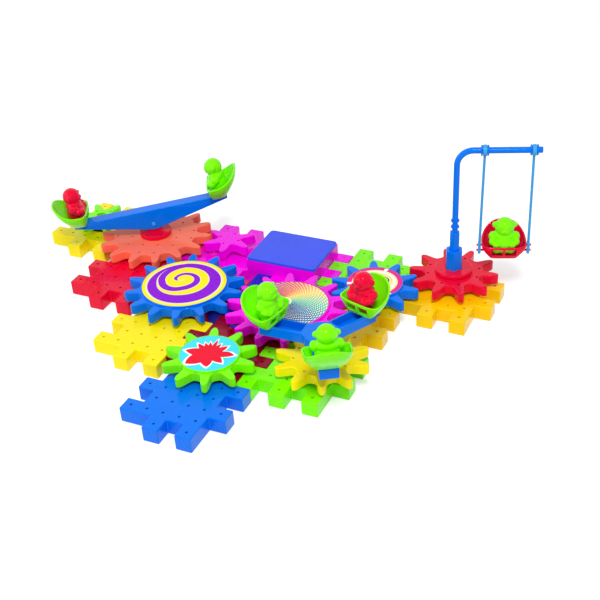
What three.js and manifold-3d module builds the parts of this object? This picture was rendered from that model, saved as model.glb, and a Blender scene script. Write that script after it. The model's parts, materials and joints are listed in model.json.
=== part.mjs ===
// Motorised gear building toy: base plates, nine meshing gears, seesaw, carousel and swing.
// Millimetres, +Z up. Plates tile a square lattice of cells, and the gears turn on axles plugged into it.
import * as THREE from 'three';
import { mergeVertices } from 'three/addons/utils/BufferGeometryUtils.js';
import Module from 'manifold-3d';

const wasm = await Module();
wasm.setup();

// lattice and clearances
const cell = 14;
const fit = 0.3;
const overrun = 1;

// base plates
const plateThick = 13;
const plateSkin = 2;
const plateRib = 2;
const pinRadius = 1.1;
const pinLength = 7;

// gears
const moduleShare = 0.5;
const toothAdd = 3.1;
const toothDed = 10.2;
const toothTipWidth = 6.2;
const toothRootWidth = 9;
const toothShoulder = 3.6;
const toothCrown = 1.3;
const toothCrownInset = 0.9;
const toothTipInset = 2.2;
const gearLift = 3.6;
const gearThick = 8.6;
const boreRadius = 4.3;
const boreRoof = 1.9;
const discRise = 1.8;
const spiralDisc = 37.5;
const rosetteDisc = 36;
const burstDisc = 24.4;
const ringsDisc = 24.4;

// axles
const flangeRadius = 12.5;

// seesaw
const seesawHalf = 72.2;
const seesawWidth = 12;
const seesawWall = 1.8;
const seesawTipDepth = 3.6;
const seesawTipLength = 12;
const seesawPivotDrop = 14;
const seesawLobe = 6;
const seesawPivotLift = 13.2;
const seesawTilt = 8.1;
const seesawHeading = 28;
const pivotPinRadius = 2;
const pivotPinProud = 0.8;
const seesawDiscRadius = 14.8;
const seesawDiscThick = 4;
const lugHalf = 6;

// carousel
const armLength = 49;
const armWidth = 15.2;
const armDepth = 9;
const armWall = 2;
const armFloor = 2;
const armTopLift = 23.8;
const carouselHubRadius = 14;
const carouselStemRadius = 8;
const carouselFootRadius = 12.6;
const carouselFootThick = 3;
const carouselHeading = 61;
const seatReach = 42.2;
const seatTurns = { right: 12, left: -12, front: 0 };

// swing
const swingHeading = 19.2;
const tubeRadius = 2.55;
const armBend = 12.7;
const armHeight = 111.5;
const swingReach = 67;
const hangerInner = 21.7;
const hangerPitch = 38.6;
const hangerRadius = 1.1;
const hangerRingWall = 1.8;
const hangerRingWidth = 3.4;
const collarWidth = 1.2;
const collarRadius = 4.4;
const ringHubRadius = 16;
const ringHubThick = 3.6;
const socketFlats = 13.2;
const socketHeight = 21;
const spigotFlats = 7.8;
const spigotHeight = 16.8;
const spigotTail = 12;
const neckHeight = 11.5;
const neckRadius = 2.3;
const neckRingRadius = 3.6;
const neckRingHeight = 1.6;
const clipWidth = 2.4;
const clipDepth = 5;
const clipHeight = 10;
const clipPinRadius = 1;
const clipPinProud = 1.2;
const swingSeatDrop = 96.3;
const swingSeatShift = 0.8;

// seats
const seatFront = 9.5;
const seatFloorFront = 6.5;
const seatRimBack = 20.5;
const seatHalfWidth = 18.7;
const seatFloorHalf = 11.5;
const seatFloorBack = 6.8;
const seatBar = 11.4;
const seatSide = 12.6;
const seatBack = 24;
const seatWall = 1.7;
const seatFloor = 2;
const windowWidth = 9.4;
const windowHeight = 6.6;
const windowSill = 2.8;
const windowPost = 1.7;

// sitting figures
const figureHeight = 34.5;
const headRadius = 7.7;
const bodyDepth = 8.4;
const bodyWidth = 9.4;
const limbLength = 4.6;
const legRadius = 3.6;
const armRadius = 3;
const figureSetback = 1;

// motor unit
const boxLength = 66.5;
const boxWidth = 52.5;
const boxRise = 11.4;
const lidThick = 2.3;
const lidCorner = 3;
const lidLip = 1.4;
const shellWall = 2;
const deckThick = 1.8;
const coverThick = 1.6;
const batteryShare = 0.1765;
const batteryLengthShare = 0.712;
const batteryTip = 1.5;
const motorLength = 25;
const motorWidth = 18;
const motorSetback = 4.55;
const motorClear = 0.75;
const wormRadius = 1.6;
const wormPast = 4.75;
const motorShaftRadius = 0.9;
const motorShaftLength = 6;
const fineModule = 1;
const fineThick = 3;
const stubRadius = 1.6;
const outputRadius = 4;
const outputKey = 5.2;
const knobLength = 4;
const knobHeight = 3.4;
const knobProud = 1.5;
const sliderThick = 1.2;
const sliderBorder = 1.6;
const switchTravel = 4;

const pinSides = 6;
const boreSides = 12;
const discSides = 32;
const apothem = (sides) => Math.cos(Math.PI / sides);
const pinHoleRadius = pinRadius + fit / apothem(pinSides);

const paint = {
  blue: 0x0068ff, navy: 0x1226c8, yellow: 0xffee1e, amber: 0xffb010, lime: 0x5cf41a, red: 0xf01432,
  maroon: 0x96102c, magenta: 0xf416f4, orange: 0xff6a3c, sky: 0x48b4f0, white: 0xf4f4f0, steel: 0xb8bcc4,
  lid: 0x496cfa, battery: 0x3a68c8,
};
const plastic = (color) => new THREE.MeshStandardMaterial({ color, roughness: 0.3, metalness: 0 });
const metal = (color) => new THREE.MeshStandardMaterial({ color, roughness: 0.35, metalness: 0.8 });

// solids
function toSolid(geometry) {
  let g = geometry.clone();
  g.deleteAttribute('normal');
  g.deleteAttribute('uv');
  g = mergeVertices(g, fit / 1000);
  return new wasm.Manifold(new wasm.Mesh({
    numProp: 3,
    vertProperties: new Float32Array(g.attributes.position.array),
    triVerts: new Uint32Array(g.index.array),
  }));
}
function toGeometry(solid) {
  const mesh = solid.getMesh();
  const g = new THREE.BufferGeometry();
  g.setAttribute('position', new THREE.BufferAttribute(new Float32Array(mesh.vertProperties), 3));
  g.setIndex(new THREE.BufferAttribute(new Uint32Array(mesh.triVerts), 1));
  g.computeVertexNormals();
  return g;
}
const join = (...solids) => solids.reduce((a, b) => a.add(b));
const cut = (solid, ...tools) => tools.reduce((a, b) => a.subtract(b), solid);
const turned = (solid, degrees) => solid.rotate([0, 0, degrees]);

function prism(points, height, z) {
  const shape = new THREE.Shape(points.map(([x, y]) => new THREE.Vector2(x, y)));
  const g = new THREE.ExtrudeGeometry(shape, { depth: height, bevelEnabled: false, steps: 1 });
  return toSolid(g.translate(0, 0, z));
}
function circle(radius, sides, x = 0, y = 0) {
  const points = [];
  for (let k = 0; k < sides; k++) {
    const a = 2 * Math.PI * (k + 1 / 2) / sides;
    points.push([x + radius * Math.cos(a), y + radius * Math.sin(a)]);
  }
  return points;
}
const disc = (radius, height, z, sides, x = 0, y = 0) => prism(circle(radius, sides, x, y), height, z);
function block(lx, ly, lz, x, y, z) {
  return toSolid(new THREE.BoxGeometry(lx, ly, lz).translate(x, y, z + lz / 2));
}
function ball(rx, ry, rz, x, y, z, around, down) {
  const g = new THREE.SphereGeometry(1, around, down).rotateX(Math.PI / 2).scale(rx, ry, rz);
  return toSolid(g.translate(x, y, z));
}
function rodX(radius, length, x, y, z, sides) {
  const g = new THREE.CylinderGeometry(radius, radius, length, sides).rotateZ(Math.PI / 2);
  return toSolid(g.translate(x, y, z));
}
function rodY(radius, length, x, y, z, sides) {
  return toSolid(new THREE.CylinderGeometry(radius, radius, length, sides).translate(x, y, z));
}

// nodes
const group = new THREE.Group();
const toy = new THREE.Group();
group.add(toy);
function addNode(parent, name, solid, material) {
  const mesh = new THREE.Mesh(toGeometry(solid), material);
  mesh.name = name;
  parent.add(mesh);
}
function place(parent, x, y, z, degrees = 0) {
  const g = new THREE.Group();
  g.position.set(x, y, z);
  g.rotation.z = THREE.MathUtils.degToRad(degrees);
  parent.add(g);
  return g;
}

// gear shapes, tooth 0 points along +x
const gearModule = moduleShare * cell;
function toothedOutline(teeth, flank) {
  const ring = [];
  const side = flank.map(([r, w]) => [Math.sqrt(r * r - w * w), -w]);
  const tooth = side.concat(side.map(([x, y]) => [x, -y]).reverse());
  for (let k = 0; k < teeth; k++) {
    const a = 2 * Math.PI * k / teeth;
    for (const [x, y] of tooth) ring.push([x * Math.cos(a) - y * Math.sin(a), x * Math.sin(a) + y * Math.cos(a)]);
  }
  return ring;
}
function gearOutline(teeth) {
  const pitch = gearModule * teeth / 2;
  return toothedOutline(teeth, [
    [pitch - toothDed, toothRootWidth / 2],
    [pitch + toothAdd - toothShoulder, toothTipWidth / 2],
    [pitch + toothAdd - toothCrown, toothTipWidth / 2 - toothCrownInset],
    [pitch + toothAdd, toothTipWidth / 2 - toothTipInset],
  ]);
}
const fineAddShare = 0.8;
const fineDedShare = 1.15;
const fineTipWidthShare = 0.55;
const fineRootWidthShare = 1.8;
const finePitch = (teeth) => fineModule * teeth / 2;
const fineTip = (teeth) => finePitch(teeth) + fineModule * fineAddShare;
function fineGear(teeth, thick, z) {
  return prism(toothedOutline(teeth, [
    [finePitch(teeth) - fineModule * fineDedShare, fineModule * fineRootWidthShare / 2],
    [fineTip(teeth), fineModule * fineTipWidthShare / 2],
  ]), thick, z);
}
// a tooth of one gear stands in a gap of the next along the line of centres
const turn = 360;
function meshPhase(driveTeeth, drivePhase, line, teeth) {
  const step = turn / teeth;
  const phase = line + turn / 2 + (turn / 2 - driveTeeth * (drivePhase - line)) / teeth;
  return ((phase % step) + step) % step;
}

// gear train: centres in cells, angles in degrees, each mesh with its play taken up as photographed
const train = {
  rosette: { teeth: 14, at: [4.5, 10.5], colour: paint.magenta, disc: rosetteDisc, phase: 9.2 },
  spiral: { teeth: 14, at: [-2.5, 10.5], colour: paint.blue, disc: spiralDisc, from: 'rosette', play: 3.5 },
  orange: { teeth: 14, at: [-7.5, 15.5], colour: paint.orange, hub: true, from: 'spiral', play: -2.3 },
  small_green: { teeth: 6, at: [-12.5, 16.5], colour: paint.lime, from: 'orange', play: 0 },
  small_magenta: { teeth: 6, at: [-2.5, 16.5], colour: paint.magenta, driven: true, from: 'orange', play: 9.1 },
  carousel: { teeth: 10, at: [8.5, 6.5], colour: paint.yellow, hub: true, from: 'rosette', play: 0 },
  rings: { teeth: 10, at: [8.5, 14.5], colour: paint.blue, disc: ringsDisc, from: 'rosette', play: 0 },
  swing: { teeth: 10, at: [12.5, 17.5], colour: paint.red, hub: true, from: 'rings', play: -4.5 },
  burst: { teeth: 10, at: [2.5, 4.5], colour: paint.lime, disc: burstDisc, from: 'rosette', play: 6.5 },
};
for (const gear of Object.values(train)) {
  gear.x = gear.at[0] * cell;
  gear.y = gear.at[1] * cell;
  if (!gear.from) continue;
  const drive = train[gear.from];
  const line = THREE.MathUtils.radToDeg(Math.atan2(gear.y - drive.y, gear.x - drive.x));
  gear.phase = meshPhase(drive.teeth, drive.phase, line, gear.teeth) + gear.play;
}

// base plates: a core of 4 by 4 cells with two tabs on every side, set as a pinwheel
const coreCells = 4;
const modulePitch = coreCells + 1;
const plateTabs = [[2, -1], [4, -1], [1, coreCells], [3, coreCells], [0, 0], [0, 2], [modulePitch, 1], [modulePitch, 3]];
function plateCells(u, v) {
  const cells = [...plateTabs];
  for (let i = 1; i <= coreCells; i++) for (let j = 0; j < coreCells; j++) cells.push([i, j]);
  return cells.map(([i, j]) => [u + i, v + j]);
}
// walks round a set of cells and draws the outline in by half a clearance
const inset = fit / 2;
function cellOutline(cells) {
  const has = new Set(cells.map(String));
  const next = new Map();
  for (const [i, j] of cells) {
    if (!has.has(`${[i, j - 1]}`)) next.set(`${[i, j]}`, [i + 1, j]);
    if (!has.has(`${[i + 1, j]}`)) next.set(`${[i + 1, j]}`, [i + 1, j + 1]);
    if (!has.has(`${[i, j + 1]}`)) next.set(`${[i + 1, j + 1]}`, [i, j + 1]);
    if (!has.has(`${[i - 1, j]}`)) next.set(`${[i, j + 1]}`, [i, j]);
  }
  const loop = [next.values().next().value];
  while (next.get(`${loop.at(-1)}`).join() !== loop[0].join()) loop.push(next.get(`${loop.at(-1)}`));
  const ring = [];
  loop.forEach((here, k) => {
    const last = loop.at(k - 1);
    const then = loop[(k + 1) % loop.length];
    const [ax, ay, bx, by] = [here[0] - last[0], here[1] - last[1], then[0] - here[0], then[1] - here[1]];
    if (ax === bx && ay === by) return;
    ring.push([(here[0] - 1 / 2) * cell - inset * (ay + by), (here[1] - 1 / 2) * cell + inset * (ax + bx)]);
  });
  return ring;
}
const hubPins = [[-1, -1], [1, -1], [1, 1], [-1, 1]].map(([i, j]) => [i * cell / 2, j * cell / 2]);
const axleHoles = Object.values(train).filter((gear) => !gear.driven)
  .flatMap((gear) => hubPins.map(([x, y]) => [gear.x + x, gear.y + y]));
function pegs(topZ) {
  return join(...hubPins.map(([x, y]) => disc(pinRadius, pinLength + topZ, -pinLength, pinSides, x, y)));
}
function plate(name, u, v, color, extra = []) {
  const cells = plateCells(u, v).concat(extra);
  const has = new Set(cells.map(String));
  let solid = prism(cellOutline(cells), plateThick, 0);
  const pocket = coreCells / 2 * cell - plateRib;
  for (const i of [1, 3]) {
    for (const j of [0, 2]) {
      const [x, y] = [(u + i + 1 / 2) * cell, (v + j + 1 / 2) * cell];
      solid = cut(solid, block(pocket, pocket, plateThick - plateSkin + overrun, x, y, -overrun));
    }
  }
  for (const [x, y] of axleHoles.filter((hole) => has.has(String(hole.map((c) => Math.round(c / cell)))))) {
    solid = cut(solid, disc(pinHoleRadius, plateThick + 2 * overrun, -overrun, pinSides, x, y));
  }
  addNode(toy, name, solid, plastic(color));
}
plate('plate_blue_front', 0, 0, paint.blue);
plate('plate_yellow_left', -5, 5, paint.yellow);
plate('plate_maroon_centre', 0, 5, paint.maroon);
plate('plate_green_front', 5, 5, paint.lime, [[5, 4]]);
plate('plate_red_left', -10, 10, paint.red);
plate('plate_red_centre', -5, 10, paint.red);
plate('plate_navy_centre', 0, 10, paint.navy);
plate('plate_amber_right', 5, 10, paint.amber);
plate('plate_yellow_back', -15, 15, paint.yellow);
plate('plate_red_back', -10, 15, paint.red);
plate('plate_green_back', 5, 15, paint.lime);
plate('plate_amber_back', 10, 15, paint.amber);

// axles and gears
const gearFace = plateThick + gearLift + gearThick;
const postTop = gearLift + gearThick - boreRoof;
for (const [name, gear] of Object.entries(train)) {
  const seat = place(toy, gear.x, gear.y, plateThick, gear.phase);
  let solid = prism(gearOutline(gear.teeth), gearThick, gearLift);
  if (gear.disc) solid = join(solid, disc(gear.disc, gearThick + discRise, gearLift, discSides));
  if (gear.driven) {
    const square = outputKey + 2 * fit;
    solid = cut(solid, block(square, square, postTop - gearLift + overrun, 0, 0, gearLift - overrun));
  } else {
    const roof = gear.disc ? postTop : gearLift + gearThick + overrun;
    solid = cut(solid, disc(boreRadius, roof - gearLift + overrun, gearLift - overrun, boreSides));
    const foot = place(toy, gear.x, gear.y, plateThick + fit);
    const flange = disc(flangeRadius, gearLift - 2 * fit, 0, 16);
    const post = disc(boreRadius - fit / apothem(boreSides), postTop - 2 * fit, 0, boreSides);
    addNode(foot, `axle_${name}`, join(flange, post, pegs(fit)), plastic(paint.white));
  }
  if (gear.hub) {
    const depth = pinLength;
    for (const [x, y] of hubPins) {
      solid = cut(solid, disc(pinHoleRadius, depth + overrun, gearLift + gearThick - depth, pinSides, x, y));
    }
  }
  addNode(seat, `gear_${name}`, solid, plastic(gear.colour));
}

// bucket seat: x points to its back, z up from its underside
const seatAround = 16;
const seatRows = 3;
const squareShare = 0.35;
const roundShare = 0.8;
const risePowerShare = 1.3;
function seatLoop(row, wall) {
  const s = row / seatRows;
  const swell = Math.sin(s * Math.PI / 2);
  const ring = [];
  for (let k = 0; k < seatAround; k++) {
    const a = 2 * Math.PI * k / seatAround;
    const c = Math.cos(a);
    const w = Math.sin(a);
    const square = Math.abs(c) ** squareShare;
    const lowX = c > 0 ? seatFloorBack * c ** roundShare : -seatFloorFront * square;
    const highX = c > 0 ? seatRimBack * c ** roundShare : -seatFront * square;
    const lowY = seatFloorHalf * Math.sign(w) * Math.abs(w) ** squareShare;
    const highY = seatHalfWidth * Math.sign(w) * Math.abs(w) ** roundShare;
    const dip = (1 - Math.abs(w)) ** squareShare;
    const rise = c * ((1 + c) / 2) ** risePowerShare;
    const rim = c > 0 ? seatSide + (seatBack - seatSide) * rise : seatSide - (seatSide - seatBar) * dip;
    const x = lowX + (highX - lowX) * swell;
    const y = lowY + (highY - lowY) * swell;
    const inward = 1 - wall / Math.hypot(x, y);
    ring.push([x * inward, y * inward, wall ? seatFloor + (rim - seatFloor) * s : rim * s]);
  }
  return ring;
}
function bucket() {
  const rings = [];
  for (let row = 0; row <= seatRows; row++) rings.push(seatLoop(row, 0));
  for (let row = seatRows; row >= 0; row--) rings.push(seatLoop(row, seatWall));
  const points = rings.flat();
  const tris = [];
  const last = (rings.length - 1) * seatAround;
  const under = points.push([0, 0, 0]) - 1;
  const inside = points.push([0, 0, seatFloor]) - 1;
  for (let k = 0; k < seatAround; k++) {
    const n = (k + 1) % seatAround;
    for (let r = 0; r < last; r += seatAround) {
      tris.push(r + k, r + n, r + seatAround + n, r + k, r + seatAround + n, r + seatAround + k);
    }
    tris.push(under, n, k, inside, last + k, last + n);
  }
  const g = new THREE.BufferGeometry();
  g.setAttribute('position', new THREE.BufferAttribute(new Float32Array(points.flat()), 3));
  g.setIndex(tris);
  const y = (windowWidth + windowPost) / 2;
  const deep = seatFront - seatFloorFront + 2 * (seatWall + overrun);
  const middle = -(seatFront + seatFloorFront) / 2;
  return cut(toSolid(g), ...[-y, y].map((w) => block(deep, windowWidth, windowHeight, middle, w, windowSill)));
}

// sitting figure, trimmed flat just over the seat's floor
const seatedSinkShare = 0.88;
const muzzleShare = 0.5;
const earShare = 0.36;
const earThickShare = 0.2;
function figure() {
  const floor = seatFloor + fit;
  const headZ = figureHeight - headRadius;
  const bodyHalf = (headZ - headRadius / 2 - floor) / 2;
  const bodyZ = floor + bodyHalf * seatedSinkShare;
  const muzzle = headRadius * muzzleShare;
  const ear = headRadius * earShare;
  const reach = limbLength;
  let solid = join(
    ball(bodyDepth, bodyWidth, bodyHalf, 0, 0, bodyZ, 8, 5),
    ball(headRadius, headRadius, headRadius, 0, 0, headZ, 8, 6),
    ball(muzzle, muzzle, muzzle, muzzle - headRadius, 0, headZ - muzzle / 2, 6, 3),
  );
  for (const side of [-1, 1]) {
    solid = join(
      solid,
      ball(headRadius * earThickShare, ear, ear, 0, side * headRadius, headZ + ear / 2, 6, 3),
      ball(reach, armRadius, armRadius, -reach, side * (bodyWidth - armRadius / 2), bodyZ, 5, 3),
      ball(reach, legRadius, legRadius, -reach, side * (windowWidth + windowPost) / 2, floor + legRadius, 6, 3),
    );
  }
  const slab = 2 * bodyWidth;
  return cut(solid, block(2 * slab, 2 * slab, slab, 0, 0, floor - slab));
}
function rider(parent, name, color, x, y, z, degrees) {
  const spot = place(parent, x, y, z, degrees);
  addNode(spot, `seat_${name}`, bucket(), plastic(paint.lime));
  addNode(place(spot, figureSetback, 0, 0), `figure_${name}`, figure(), plastic(color));
}

// seesaw on the orange gear, left end down on its stop
{
  const gear = train.orange;
  const base = place(toy, gear.x, gear.y, gearFace + fit, gear.phase);
  const pivotZ = seesawPivotLift - fit;
  const inner = seesawWidth - 2 * seesawWall;
  const tilt = THREE.MathUtils.degToRad(seesawTilt);
  const web = seesawPivotDrop - seesawWall;
  const lugRise = (web - fit - lugHalf * Math.sin(tilt)) / Math.cos(tilt);
  const bore = pivotPinRadius + fit / apothem(boreSides);
  const lug = cut(
    block(2 * lugHalf, inner - 2 * fit, pivotZ + lugRise, 0, 0, 0),
    rodY(bore, inner + 2 * overrun, 0, 0, pivotZ, boreSides),
  );
  const foot = join(disc(seesawDiscRadius, seesawDiscThick, 0, 28), pegs(fit));
  addNode(base, 'seesaw_hub', join(foot, turned(lug, seesawHeading - gear.phase)), plastic(paint.red));

  const heading = place(toy, gear.x, gear.y, gearFace + seesawPivotLift, seesawHeading);
  const beam = new THREE.Group();
  beam.rotation.y = -tilt;
  heading.add(beam);
  const low = seesawPivotDrop - seesawTipDepth;
  const profile = [[seesawHalf, low], [seesawHalf, seesawPivotDrop], [-seesawHalf, seesawPivotDrop], [-seesawHalf, low]];
  const lobeSteps = 4;
  const lobeStart = Math.acos(seesawLobe / Math.hypot(seesawHalf, low)) - Math.atan2(low, seesawHalf);
  for (let k = 0; k <= lobeSteps; k++) {
    const a = Math.PI + lobeStart + (Math.PI - 2 * lobeStart) * k / lobeSteps;
    profile.push([seesawLobe * Math.cos(a), seesawLobe * Math.sin(a)]);
  }
  const shape = new THREE.Shape(profile.map(([x, z]) => new THREE.Vector2(x, z)));
  const side = new THREE.ExtrudeGeometry(shape, { depth: seesawWidth, bevelEnabled: false, steps: 1 });
  const bar = cut(
    toSolid(side.rotateX(Math.PI / 2).translate(0, seesawWidth / 2, 0)),
    block(2 * (seesawHalf - seesawTipLength), inner, web + seesawLobe + overrun, 0, 0, -seesawLobe - overrun),
    rodY(bore, seesawWidth + 2 * overrun, 0, 0, 0, boreSides),
  );
  addNode(beam, 'seesaw_beam', bar, plastic(paint.blue));
  addNode(beam, 'seesaw_pivot_pin', rodY(pivotPinRadius, seesawWidth + 2 * pivotPinProud, 0, 0, 0, boreSides),
    plastic(paint.sky));
  const seatX = seesawHalf - seatFloorBack;
  rider(beam, 'seesaw_low', paint.red, -seatX, 0, seesawPivotDrop + fit, turn / 2);
  rider(beam, 'seesaw_high', paint.lime, seatX, 0, seesawPivotDrop + fit, 0);
}

// carousel plugged on the yellow gear, three channel arms each with a seat facing the hub
{
  const gear = train.carousel;
  const base = place(toy, gear.x, gear.y, gearFace + fit, carouselHeading);
  const top = armTopLift - fit;
  const arms = 3;
  const ways = [...Array(arms).keys()].map((k) => turn * k / arms);
  const bottom = top - armDepth;
  let spinner = join(
    disc(carouselHubRadius, armDepth, bottom, 28),
    disc(carouselStemRadius, top - armFloor, 0, 20),
    disc(carouselFootRadius, carouselFootThick, 0, 24),
    turned(pegs(fit), gear.phase - carouselHeading),
  );
  for (const way of ways) {
    spinner = join(spinner, turned(block(armLength, armWidth, armDepth, armLength / 2, 0, bottom), way));
  }
  const trough = armLength - armWall - carouselHubRadius;
  for (const way of ways) {
    const channel = block(trough, armWidth - 2 * armWall, armDepth, carouselHubRadius + trough / 2, 0, bottom + armFloor);
    spinner = cut(spinner, turned(channel, way));
  }
  addNode(base, 'carousel_spinner', spinner, plastic(paint.blue));
  const riders = { right: paint.red, left: paint.lime, front: paint.lime };
  Object.entries(riders).forEach(([name, color], k) => {
    const a = THREE.MathUtils.degToRad(ways[k]);
    const [x, y] = [seatReach * Math.cos(a), seatReach * Math.sin(a)];
    rider(base, `carousel_${name}`, color, x, y, top + fit, ways[k] + seatTurns[name]);
  });
}

// swing on the red gear: ring hub, hexagonal socket, bent post, two hangers and a seat
{
  const gear = train.swing;
  const hexSides = 6;
  const hex = (flats, height, z) => disc(flats / 2 / apothem(hexSides), height, z, hexSides);
  const base = place(toy, gear.x, gear.y, gearFace + fit, gear.phase);
  const ring = join(disc(ringHubRadius, ringHubThick, 0, 28), pegs(fit));
  const socketHole = hex(socketFlats + 2 * fit, ringHubThick + 2 * overrun, -overrun);
  addNode(base, 'swing_ring_hub', cut(ring, turned(socketHole, swingHeading - gear.phase)), plastic(paint.red));

  const post = place(toy, gear.x, gear.y, gearFace + fit, swingHeading);
  const socket = cut(
    hex(socketFlats, socketHeight, 0),
    hex(spigotFlats + 2 * fit, spigotTail + overrun, socketHeight - spigotTail),
  );
  addNode(post, 'swing_socket', socket, plastic(paint.blue));

  // bent tube with its hexagonal spigot, ringed neck, upright, bend and arm in one piece
  const foot = socketHeight - spigotTail + fit;
  const spigotTop = socketHeight + spigotHeight;
  const upright = spigotTop + neckHeight;
  class BentArm extends THREE.Curve {
    getPoint(t, target = new THREE.Vector3()) {
      const rise = armHeight - armBend - upright;
      const arc = armBend * Math.PI / 2;
      const s = t * (rise + arc + swingReach - armBend);
      if (s <= rise) return target.set(0, 0, upright + s);
      if (s >= rise + arc) return target.set(armBend + s - rise - arc, 0, armHeight);
      const a = (s - rise) / armBend;
      return target.set(armBend * (1 - Math.cos(a)), 0, armHeight - armBend * (1 - Math.sin(a)));
    }
  }
  const tubeSides = 8;
  const section = new THREE.Shape(circle(tubeRadius, tubeSides).map(([x, y]) => new THREE.Vector2(x, y)));
  const bent = new THREE.ExtrudeGeometry(section, { steps: 22, bevelEnabled: false, extrudePath: new BentArm() });
  let tube = join(
    toSolid(bent),
    hex(spigotFlats, spigotTop - foot, foot),
    disc(neckRadius, neckHeight + 2 * fit, spigotTop - fit, tubeSides),
  );
  for (const k of [1, 2]) {
    const z = spigotTop + neckHeight * k / 2 - neckRingHeight;
    tube = join(tube, disc(neckRingRadius, neckRingHeight, z, 10));
  }
  const spots = [hangerInner, hangerInner + hangerPitch];
  const collarX = hangerRingWidth / 2 + fit + collarWidth / 2;
  for (const x of spots) {
    for (const side of [-collarX, collarX]) tube = join(tube, rodX(collarRadius, collarWidth, x + side, 0, armHeight, 10));
  }
  addNode(post, 'swing_post_arm', tube, plastic(paint.blue));

  // seat hung level between the hangers by two pins in each side
  const middle = hangerInner + hangerPitch / 2;
  const seatZ = armHeight - swingSeatDrop;
  const clipX = seatHalfWidth + fit + clipWidth / 2;
  const clipZ = seatSide - clipHeight;
  const pinHeights = [clipHeight / 4, 3 * clipHeight / 4].map((z) => clipZ + z);
  const eye = clipPinRadius + fit / apothem(pinSides);
  spots.forEach((x, k) => {
    const out = k ? 1 : -1;
    const bottom = middle + out * clipX;
    const ringRadius = tubeRadius + fit / apothem(tubeSides);
    const rodTop = new THREE.Vector3(x, 0, armHeight - ringRadius - hangerRingWall / 2);
    const rodFoot = new THREE.Vector3(bottom, 0, seatZ + seatSide - fit);
    const lean = new THREE.LineCurve3(rodFoot, rodTop);
    const wire = new THREE.Shape(circle(hangerRadius, 8).map(([px, py]) => new THREE.Vector2(px, py)));
    let hanger = join(
      rodX(ringRadius + hangerRingWall, hangerRingWidth, x, 0, armHeight, 14),
      toSolid(new THREE.ExtrudeGeometry(wire, { steps: 1, bevelEnabled: false, extrudePath: lean })),
      block(clipWidth, clipDepth, clipHeight, bottom, 0, seatZ + clipZ),
    );
    hanger = cut(hanger, rodX(ringRadius, hangerRingWidth + 2 * overrun, x, 0, armHeight, tubeSides));
    for (const z of pinHeights) {
      hanger = cut(hanger, rodX(eye, clipWidth + 2 * overrun, bottom, 0, seatZ + z, pinSides));
    }
    addNode(post, k ? 'swing_hanger_outer' : 'swing_hanger_inner', hanger, plastic(paint.sky));
  });
  const spot = place(post, middle, swingSeatShift, seatZ, turn / 4);
  let seat = bucket();
  const outer = seatHalfWidth + fit + clipWidth + clipPinProud;
  for (const z of pinHeights) {
    const swell = Math.sin(z / seatSide * Math.PI / 2);
    const start = seatFloorHalf + (seatHalfWidth - seatFloorHalf) * swell - seatWall / 2;
    for (const side of [-1, 1]) {
      const pin = rodY(clipPinRadius, outer - start, -swingSeatShift, side * (outer + start) / 2, z, pinSides);
      seat = join(seat, pin);
    }
  }
  addNode(spot, 'seat_swing', seat, plastic(paint.red));
  addNode(place(spot, figureSetback, 0, 0), 'figure_swing', figure(), plastic(paint.lime));
}

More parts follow.
